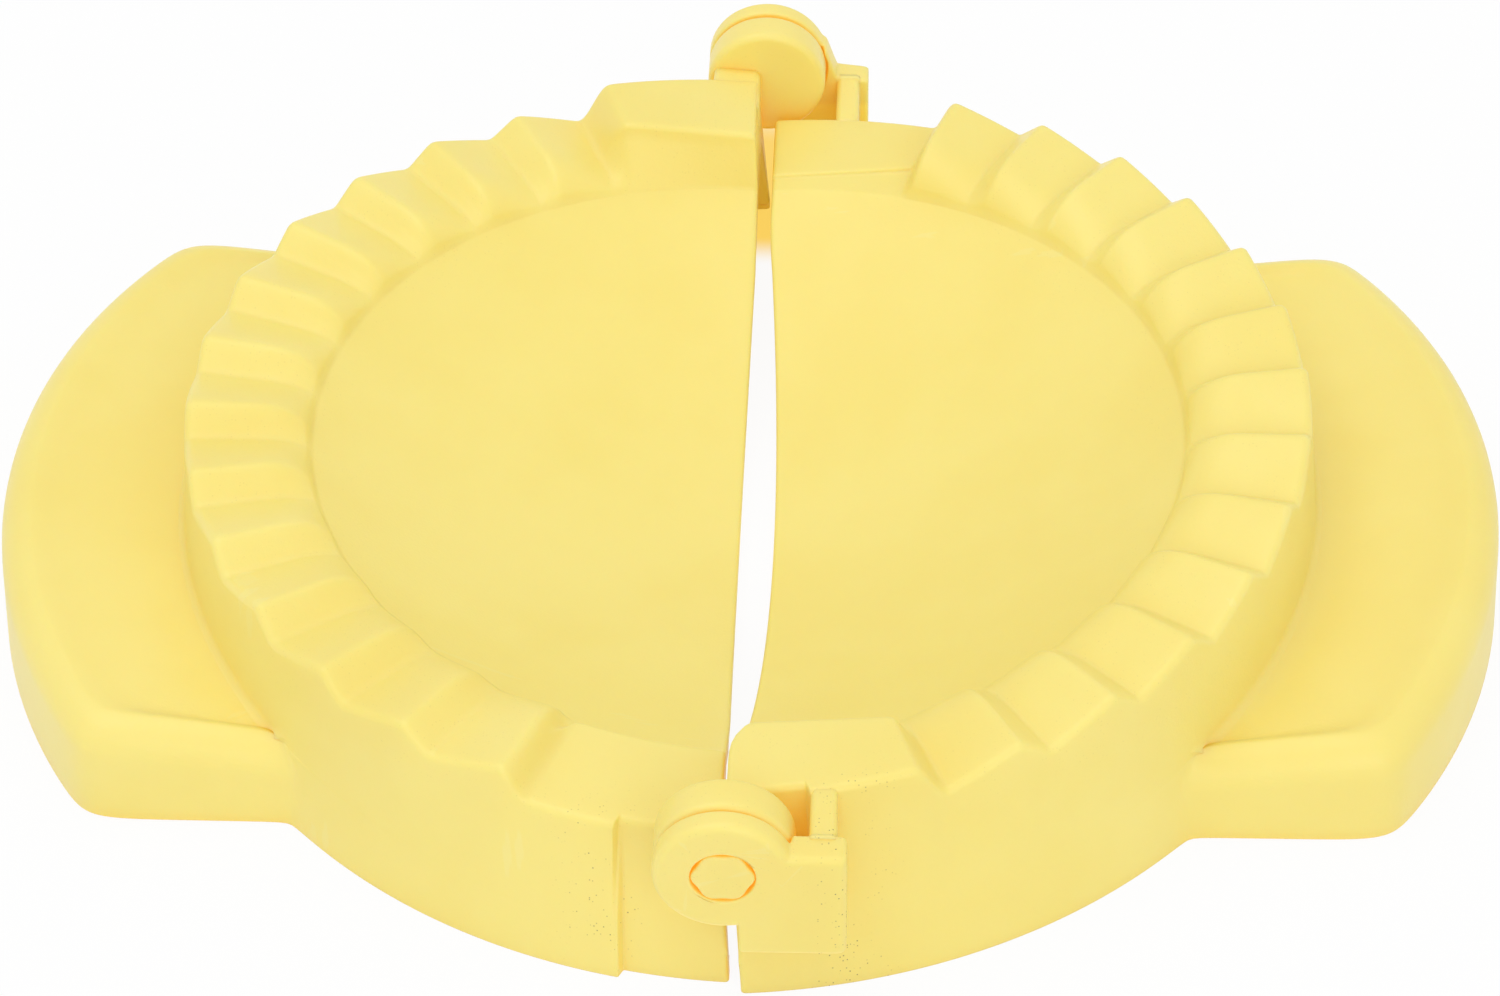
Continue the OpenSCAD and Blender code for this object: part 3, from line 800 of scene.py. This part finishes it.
class PRESS_settings(bpy.types.PropertyGroup):
    """All settings of the press"""

    jaw: PointerProperty(type=PRESS_jaw_settings, name="Jaws", description="Sizes of both jaws")
    hinge: PointerProperty(type=PRESS_hinge_settings, name="Hinge", description="Sizes of the hinge")
    finish: PointerProperty(type=PRESS_finish_settings, name="Finish", description="Plastic")
    stage: PointerProperty(type=PRESS_stage_settings, name="Stage", description="Camera and light")


class Sizes:
    """A settings group read once, with lengths in millimetres and angles in degrees."""

    def __init__(self, group):
        for name, prop in group.bl_rna.properties.items():
            if prop.type != "FLOAT" or prop.array_length:
                continue
            value = getattr(group, name)
            if prop.unit == "LENGTH":
                value = value / MM
            elif prop.unit == "ROTATION":
                value = np.degrees(value)
            setattr(self, name, float(value))
        if hasattr(self, "teeth"):
            self.teeth = int(round(self.teeth))


def new_group(name, inputs, outputs):
    """A shader node group with the named sockets, its nodes and links, and its two end nodes."""
    group = bpy.data.node_groups.new(name, "ShaderNodeTree")
    for label, kind, value in inputs:
        socket = group.interface.new_socket(name=label, in_out="INPUT", socket_type=kind)
        if value is not None:
            socket.default_value = value
    for label, kind in outputs:
        group.interface.new_socket(name=label, in_out="OUTPUT", socket_type=kind)
    start = group.nodes.new("NodeGroupInput")
    end = group.nodes.new("NodeGroupOutput")
    return group, start, end


def node(tree, kind, **values):
    """A new node with its properties and input values set; values may be sockets to link from."""
    made = tree.nodes.new(kind)
    for key, value in values.items():
        if key.startswith("p_"):
            setattr(made, key[2:], value)
    for key, value in values.items():
        if key.startswith("p_"):
            continue
        numbered = key[0] == "i" and key[1:].isdigit()
        socket = made.inputs[int(key[1:]) if numbered else key.replace("_", " ")]
        if isinstance(value, bpy.types.NodeSocket):
            tree.links.new(value, socket)
        else:
            socket.default_value = value
    return made


def math(tree, operation, a, b=0.0, c=0.0):
    """A Math node's output."""
    return node(tree, "ShaderNodeMath", p_operation=operation, i0=a, i1=b, i2=c).outputs[0]


def ramp(tree, value, low, high):
    """A Map Range node's output: 0 at low, 1 at high, smooth and clamped."""
    made = node(tree, "ShaderNodeMapRange", p_interpolation_type="SMOOTHSTEP", i0=value, i1=low, i2=high)
    return made.outputs[0]


def noise(tree, place, scale, detail, roughness):
    """A Noise Texture's value."""
    made = node(tree, "ShaderNodeTexNoise", Vector=place, Scale=scale, Detail=detail, Roughness=roughness)
    return made.outputs[0]


def mix_colour(tree, share, a, b):
    """A Mix node's colour output."""
    return node(tree, "ShaderNodeMix", p_data_type="RGBA", i0=share, i6=a, i7=b).outputs[2]


def moulded_surface():
    """Group for moulded plastic: cloudy tone, fine grain, specks and scuffs, from a place."""
    group, start, end = new_group(
        "moulded_surface",
        [
            ("Place", "NodeSocketVector", None),
            ("Cloud Scale", "NodeSocketFloat", 45.0),
            ("Grain Scale", "NodeSocketFloat", 2600.0),
            ("Speck Scale", "NodeSocketFloat", 3400.0),
            ("Speck Amount", "NodeSocketFloat", 0.5),
        ],
        [
            ("Cloud", "NodeSocketFloat"),
            ("Grain", "NodeSocketFloat"),
            ("Specks", "NodeSocketFloat"),
            ("Scuffs", "NodeSocketFloat"),
        ],
    )
    place = start.outputs["Place"]
    cloud = noise(group, place, start.outputs["Cloud Scale"], 3.0, 0.55)
    grain = noise(group, place, start.outputs["Grain Scale"], 2.0, 0.6)
    cells = node(group, "ShaderNodeTexVoronoi", Vector=place, Scale=start.outputs["Speck Scale"])
    patch = noise(group, place, 130.0, 2.0, 0.5)
    dots = ramp(group, cells.outputs["Distance"], 0.30, 0.12)
    chance = node(group, "ShaderNodeSeparateColor", Color=cells.outputs["Color"])
    rare = ramp(group, chance.outputs[0], 0.74, 0.84)
    specks = math(group, "MULTIPLY", dots, rare)
    specks = math(group, "MULTIPLY", specks, ramp(group, patch, 0.38, 0.56))
    specks = math(group, "MULTIPLY", specks, start.outputs["Speck Amount"])
    stretch = node(group, "ShaderNodeMapping", Vector=place, Rotation=(0.0, 0.0, 0.6), Scale=(1.0, 9.0, 1.0))
    scuff = noise(group, stretch.outputs[0], 210.0, 4.0, 0.65)
    outputs = {"Cloud": cloud, "Grain": grain, "Specks": specks, "Scuffs": ramp(group, scuff, 0.60, 0.78)}
    for label, value in outputs.items():
        group.links.new(value, end.inputs[label])
    return group


def plastic_material(name, finish, surface):
    """Satin yellow plastic: cloudy tone, paler rubbed edges, specks by the near hinge, and painted light: an
    orange painted shade and painted glow in crevices and a painted glow in the hollow underneath, in place of
    light that the plastic passes on."""
    material = bpy.data.materials.new(name)
    material.use_nodes = True
    tree = material.node_tree
    tree.nodes.clear()
    place = node(tree, "ShaderNodeTexCoord").outputs["Object"]
    look = node(tree, "ShaderNodeGroup", p_node_tree=surface, Place=place)
    look.inputs["Speck Amount"].default_value = 0.85
    pointed = node(tree, "ShaderNodeNewGeometry").outputs["Pointiness"]
    rubbed = ramp(tree, pointed, 0.52, 0.58)
    # painted shade and glow: occluded crevices are tinted orange and made to give off light
    open_air = node(tree, "ShaderNodeAmbientOcclusion", p_samples=3, Distance=0.0035).outputs["AO"]
    painted_crevice_light = ramp(tree, open_air, 0.48, 0.08)
    xyz = node(tree, "ShaderNodeSeparateXYZ", Vector=place)
    # the hollow, which gets a painted glow: low faces that look towards the middle, and faces that look down
    facing = node(tree, "ShaderNodeTexCoord").outputs["Normal"]
    down = node(tree, "ShaderNodeSeparateXYZ", Vector=facing)
    level = node(tree, "ShaderNodeVectorMath", p_operation="MULTIPLY", i0=place, i1=(1.0, 1.0, 0.0))
    spoke = node(tree, "ShaderNodeVectorMath", p_operation="NORMALIZE", i0=level.outputs[0])
    inward = node(tree, "ShaderNodeVectorMath", p_operation="DOT_PRODUCT", i0=facing, i1=spoke.outputs[0])
    low_down = ramp(tree, xyz.outputs[2], 0.0126, 0.0118)
    inner_side = math(tree, "MULTIPLY", ramp(tree, inward.outputs["Value"], -0.3, -0.7), low_down)
    inner_side = math(tree, "MULTIPLY", inner_side, ramp(tree, down.outputs[2], 0.45, 0.2))
    painted_hollow_glow = math(tree, "MAXIMUM", inner_side, ramp(tree, down.outputs[2], -0.2, -0.6))
    # specks on both sides of the near hinge, and few on the rims
    near_wall = ramp(tree, xyz.outputs[1], -0.047, -0.051)
    beside = math(tree, "ABSOLUTE", xyz.outputs[0])
    beside = math(tree, "MULTIPLY", ramp(tree, beside, 0.0065, 0.0090), ramp(tree, beside, 0.016, 0.0112))
    rim = math(tree, "MULTIPLY", ramp(tree, xyz.outputs[2], 0.012, 0.015), 0.12)
    dirty = math(tree, "MAXIMUM", math(tree, "MULTIPLY", near_wall, beside), rim)
    specks = math(tree, "MULTIPLY", look.outputs["Specks"], dirty)
    plastic, deep = (*finish.plastic, 1), (*finish.deep, 1)
    base = mix_colour(tree, ramp(tree, look.outputs["Cloud"], 0.35, 0.7), plastic, deep)
    base = mix_colour(tree, math(tree, "MULTIPLY", rubbed, 0.15), base, (*finish.worn, 1))
    # painted shade: crevices take the orange crevice colour
    base = mix_colour(tree, painted_crevice_light, base, (*finish.painted_crevice_light, 1))
    base = mix_colour(tree, specks, base, (*finish.dirt, 1))
    rough = math(tree, "MULTIPLY_ADD", look.outputs["Cloud"], 0.10, finish.roughness - 0.05)
    rough = math(tree, "MULTIPLY_ADD", look.outputs["Scuffs"], 0.08, rough)
    height = math(tree, "MULTIPLY_ADD", look.outputs["Scuffs"], -0.1, look.outputs["Grain"])
    bump = node(tree, "ShaderNodeBump", Strength=0.10, Distance=0.0002, Height=height)
    shader = node(tree, "ShaderNodeBsdfPrincipled", Base_Color=base, Roughness=rough, Normal=bump.outputs[0])
    shader.inputs["IOR"].default_value = 1.49
    shader.inputs["Subsurface Weight"].default_value = finish.glow
    shader.inputs["Subsurface Radius"].default_value = (1.0, 0.7, 0.25)
    shader.inputs["Subsurface Scale"].default_value = finish.glow_depth
    # painted glow: the plastic gives off the crevice colour in crevices and in the hollow, though it is no lamp
    shader.inputs["Emission Color"].default_value = (*finish.painted_crevice_light, 1)
    painted_glow = math(tree, "MULTIPLY", painted_crevice_light, finish.crevice_glow)
    painted_glow = math(tree, "MAXIMUM", painted_glow, math(tree, "MULTIPLY", painted_hollow_glow, finish.hollow_glow))
    tree.links.new(painted_glow, shader.inputs["Emission Strength"])
    out = node(tree, "ShaderNodeOutputMaterial")
    tree.links.new(shader.outputs[0], out.inputs[0])
    return material


def backdrop_material():
    """Pale floor that the camera and reflections see as white, while it keeps the press's shadow.
    Below the far hinge an orange patch is painted on it, a painted glow in place of light that the plastic
    would pass on."""
    material = bpy.data.materials.new("pale_floor")
    material.use_nodes = True
    tree = material.node_tree
    tree.nodes.clear()
    diffuse = node(tree, "ShaderNodeBsdfPrincipled", Base_Color=(0.9, 0.9, 0.9, 1), Roughness=0.9)
    place = node(tree, "ShaderNodeTexCoord").outputs["Object"]
    xyz = node(tree, "ShaderNodeSeparateXYZ", Vector=place)
    y = xyz.outputs[1]
    # painted glow: an orange patch on the floor below the far hinge, seen through the slit between the jaws
    along = math(tree, "MULTIPLY", ramp(tree, y, 0.045, 0.050), ramp(tree, y, 0.076, 0.066))
    under = math(tree, "MULTIPLY", along, ramp(tree, math(tree, "ABSOLUTE", xyz.outputs[0]), 0.007, 0.003))
    painted_floor_glow = mix_colour(tree, under, (1, 1, 1, 1), (1.0, 0.66, 0.12, 1))
    glow = node(tree, "ShaderNodeEmission", Color=painted_floor_glow, Strength=1.0)
    path = node(tree, "ShaderNodeLightPath").outputs
    indirect = math(tree, "MAXIMUM", path["Is Glossy Ray"], path["Is Transmission Ray"])
    seen = math(tree, "MAXIMUM", path["Is Camera Ray"], indirect)
    share = math(tree, "MULTIPLY", seen, 0.93)
    mixed = node(tree, "ShaderNodeMixShader", i0=share, i1=diffuse.outputs[0], i2=glow.outputs[0])
    out = node(tree, "ShaderNodeOutputMaterial")
    tree.links.new(mixed.outputs[0], out.inputs[0])
    return material


def shared_material(settings):
    """The one plastic of both jaws, made once."""
    found = bpy.data.materials.get("yellow_polypropylene")
    if found:
        return found
    surface = bpy.data.node_groups.get("moulded_surface") or moulded_surface()
    return plastic_material("yellow_polypropylene", Finish(settings.finish), surface)


class Finish:
    """Finish settings read once, in metres and linear colours."""

    def __init__(self, group):
        self.plastic, self.deep = tuple(group.plastic), tuple(group.deep)
        self.worn, self.dirt, self.painted_crevice_light = tuple(group.worn), tuple(group.dirt), tuple(group.painted_crevice_light)
        self.crevice_glow, self.hollow_glow = group.crevice_glow, group.hollow_glow
        self.roughness, self.glow, self.glow_depth = group.roughness, group.glow, group.glow_depth


def hinge_pair(name, near, far, side, body, material):
    """A hinge piece at the near end, and one drawn the same way but turned round at the far end."""
    for end, (grid, faces), turn in (("near", near, 1), ("far", far, -1)):
        finish_piece(make_piece(f"{name}_{end}", grid * np.array([1, turn, 1]), faces, side), body, material)


def jaw_shell(context, body, kind, side):
    """A jaw's bowl, toothed rim, skirt and grip as one piece, in place of the jaw's solid."""
    settings = context.scene.press
    grid, faces, caps = jaw_mesh(JawForm(Sizes(settings.jaw), kind))
    piece = make_piece(f"{body}_shell", grid, faces, side, caps)
    finish_piece(piece, body, shared_material(settings), body)
    return {"FINISHED"}


class PRESS_OT_pin_jaw(bpy.types.Operator):
    """Build the left jaw's bowl, toothed rim, skirt and grip"""

    bl_idname = "press.pin_jaw"
    bl_label = "Pin Jaw"

    def execute(self, context):
        return jaw_shell(context, "pin_jaw", PIN_JAW, -1)


class PRESS_OT_ear_jaw(bpy.types.Operator):
    """Build the right jaw's bowl, toothed rim, skirt and grip"""

    bl_idname = "press.ear_jaw"
    bl_label = "Ear Jaw"

    def execute(self, context):
        return jaw_shell(context, "ear_jaw", EAR_JAW, 1)


class PRESS_OT_knuckles(bpy.types.Operator):
    """Build the knuckles, their stub pins and the bridges to the wall"""

    bl_idname = "press.knuckles"
    bl_label = "Knuckles and Pins"

    def execute(self, context):
        settings = context.scene.press
        h, plastic = Sizes(settings.hinge), shared_material(settings)
        hinge_pair("knuckle_pin", knuckle_parts(h), knuckle_parts(h), -1, "pin_jaw", plastic)
        tilt = settings.jaw.rim_tilt
        near = bridge_parts(h, 3.9, -4.5, h.near_bridge, tilt)
        far = bridge_parts(h, 5.3, -2.4, h.far_bridge, tilt)
        hinge_pair("knuckle_bridge", near, far, -1, "pin_jaw", plastic)
        return {"FINISHED"}


class PRESS_OT_ears(bpy.types.Operator):
    """Build the ear plates with their eyes, and the webs behind them"""

    bl_idname = "press.ears"
    bl_label = "Ears and Webs"

    def execute(self, context):
        settings = context.scene.press
        h, plastic = Sizes(settings.hinge), shared_material(settings)
        hinge_pair("ear", ear_parts(h, False), ear_parts(h, True), 1, "ear_jaw", plastic)
        hinge_pair("ear_web", web_parts(h, 2.3, 2.2), web_parts(h, -1.5, -2.5), 1, "ear_jaw", plastic)
        return {"FINISHED"}


def soft_light(name, power, size, place, target):
    """A square lamp that faces a point."""
    lamp = bpy.data.lights.new(name, "AREA")
    lamp.energy, lamp.size = power, size
    holder = bpy.data.objects.new(name, lamp)
    direction = Vector(target) - Vector(place)
    holder.matrix_world = Matrix.Translation(place) @ direction.to_track_quat("-Z", "Y").to_matrix().to_4x4()
    bpy.context.scene.collection.objects.link(holder)


def floor_object():
    """Square floor just under the press."""
    half, z = 1.5, -0.00002
    mesh = bpy.data.meshes.new("floor")
    corners = [(-half, -half, z), (half, -half, z), (half, half, z), (-half, half, z)]
    mesh.from_pydata(corners, [], [(0, 1, 2, 3)])
    floor = bpy.data.objects.new("floor", mesh)
    bpy.context.scene.collection.objects.link(floor)
    mesh.materials.append(backdrop_material())


def set_camera(s):
    """Camera turned by azimuth, raised by elevation, rolled, and set back from the look point."""
    az, e, roll = (np.radians(v) for v in (s.azimuth, s.elevation, s.roll))
    ahead = np.array([-np.sin(az) * np.cos(e), np.cos(az) * np.cos(e), -np.sin(e)])
    right = np.array([np.cos(az), np.sin(az), 0.0])
    up = np.cross(right, ahead)
    x = np.cos(roll) * right + np.sin(roll) * up
    y = -np.sin(roll) * right + np.cos(roll) * up
    spot = (np.array([0, 0, s.look_z]) - (s.shift_x * x + s.shift_y * y + s.distance * ahead)) * MM
    data = bpy.data.cameras.new("camera")
    data.lens, data.sensor_width, data.sensor_fit = s.focal, 36.0, "HORIZONTAL"
    data.clip_start, data.clip_end = 0.01, 10.0
    camera = bpy.data.objects.new("camera", data)
    turn = Matrix((x, y, -ahead)).transposed().to_4x4()
    camera.matrix_world = Matrix.Translation(spot) @ turn
    bpy.context.scene.collection.objects.link(camera)
    bpy.context.scene.camera = camera


def set_world(strength):
    """Even pale light all round; the camera and reflections see it white."""
    world = bpy.data.worlds.new("studio")
    bpy.context.scene.world = world
    world.use_nodes = True
    tree = world.node_tree
    tree.nodes.clear()
    path = node(tree, "ShaderNodeLightPath")
    seen = math(tree, "MAXIMUM", path.outputs["Is Camera Ray"], path.outputs["Is Transmission Ray"])
    level = math(tree, "MULTIPLY_ADD", seen, 1.0 - strength, strength)
    light = node(tree, "ShaderNodeBackground", Color=(1, 1, 1, 1), Strength=level)
    out = node(tree, "ShaderNodeOutputWorld")
    tree.links.new(light.outputs[0], out.inputs[0])


class PRESS_OT_stage(bpy.types.Operator):
    """Set the floor, the soft lights, the world and the camera"""

    bl_idname = "press.stage"
    bl_label = "Stage"

    def execute(self, context):
        group = context.scene.press.stage
        stage = Sizes(group)
        floor_object()
        set_world(stage.world)
        soft_light("key_light", stage.key, 0.7, (-0.15, -0.05, 0.8), (0, 0, 0))
        soft_light("front_light", stage.fill, 0.5, (0.25, -0.8, 0.45), (0, 0, 0))
        set_camera(stage)
        context.scene.view_settings.view_transform = "Standard"
        return {"FINISHED"}


class PRESS_PT_panel(bpy.types.Panel):
    """Buttons for each group of pieces"""

    bl_idname = "PRESS_PT_panel"
    bl_label = "Empanada Press"
    bl_space_type = "VIEW_3D"
    bl_region_type = "UI"
    bl_category = "Press"

    def draw(self, context):
        for operator in OPERATORS:
            self.layout.operator(operator.bl_idname)
        settings = context.scene.press
        for group in (settings.jaw, settings.hinge, settings.finish, settings.stage):
            box = self.layout.box()
            for name in group.__annotations__:
                box.prop(group, name)


OPERATORS = (PRESS_OT_pin_jaw, PRESS_OT_ear_jaw, PRESS_OT_knuckles, PRESS_OT_ears, PRESS_OT_stage)
CLASSES = (
    PRESS_jaw_settings,
    PRESS_hinge_settings,
    PRESS_finish_settings,
    PRESS_stage_settings,
    PRESS_settings,
    *OPERATORS,
    PRESS_PT_panel,
)


def register():
    for item in CLASSES:
        bpy.utils.register_class(item)
    bpy.types.Scene.press = PointerProperty(type=PRESS_settings, name="Press", description="Press settings")


def unregister():
    del bpy.types.Scene.press
    for item in reversed(CLASSES):
        bpy.utils.unregister_class(item)


def main():
    """Registers the classes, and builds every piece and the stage."""
    register()
    bpy.ops.press.pin_jaw()
    bpy.ops.press.ear_jaw()
    bpy.ops.press.knuckles()
    bpy.ops.press.ears()
    bpy.ops.press.stage()


if __name__ == "__main__":
    main()
